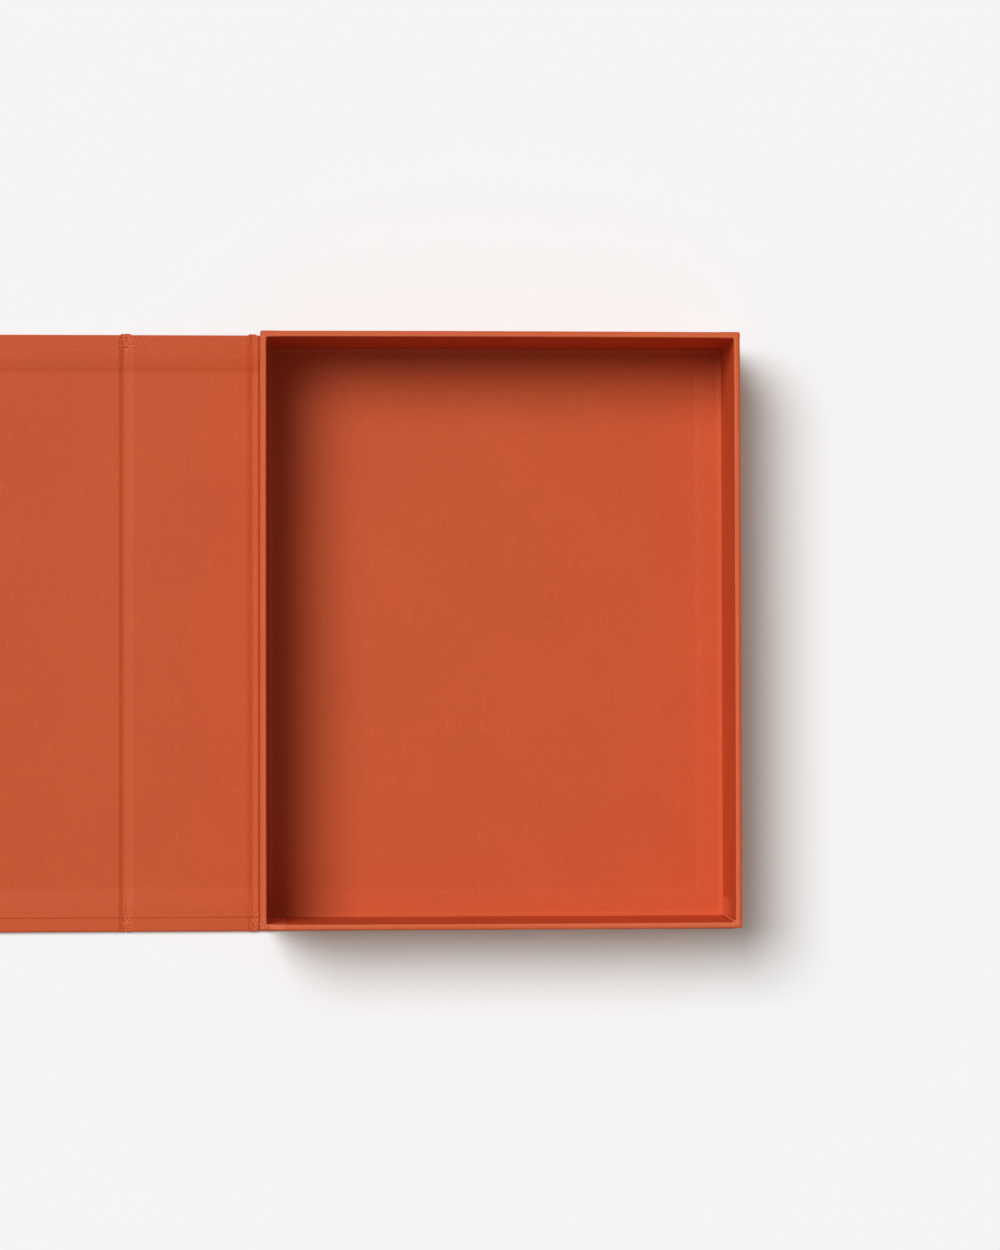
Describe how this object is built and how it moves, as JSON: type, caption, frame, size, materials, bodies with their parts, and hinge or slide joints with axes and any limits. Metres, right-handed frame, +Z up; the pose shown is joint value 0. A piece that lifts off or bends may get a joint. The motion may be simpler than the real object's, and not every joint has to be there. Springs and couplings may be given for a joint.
{
  "type": "storage box",
  "caption": "Cloth-covered greyboard storage box: a deep tray glued into a hinged case whose spine and cover fold flat or close over the tray.",
  "frame": {"origin": "on the table, under the middle of the tray, on the underside of the case back", "axes": "+X from the opened cover across the spine to the tray's fore edge, +Y to the head, +Z up out of the tray"},
  "size_m": [0.5883, 0.3204, 0.0668],
  "materials": {
    "greyboard": "matte",
    "book_cloth": "matte",
    "lining_cloth": "matte"
  },
  "bodies": {
    "tray": {"back_board": "greyboard", "back_cloth": "book_cloth", "back_lining": "lining_cloth", "tray_floor_board": "greyboard", "head_wall_board": "greyboard", "tail_wall_board": "greyboard", "hinge_wall_board": "greyboard", "fore_edge_wall_board": "greyboard", "tray_wrap_cloth": "book_cloth", "tray_floor_lining": "lining_cloth"},
    "spine": {"spine_board": "greyboard", "spine_cloth": "book_cloth", "spine_lining": "lining_cloth"},
    "cover": {"cover_board": "greyboard", "cover_cloth": "book_cloth", "cover_lining": "lining_cloth"}
  },
  "joints": [
    {"name": "spine_fold", "type": "hinge", "parent": "tray", "child": "spine", "pos_m": [-0.13005, 0, 0.0009], "axis": [0, 1, 0], "range_deg": [0, 90]},
    {"name": "cover_fold", "type": "hinge", "parent": "spine", "child": "cover", "pos_m": [-0.19885, 0, 0.0009], "axis": [0, 1, 0], "range_deg": [0, 90]}
  ]
}
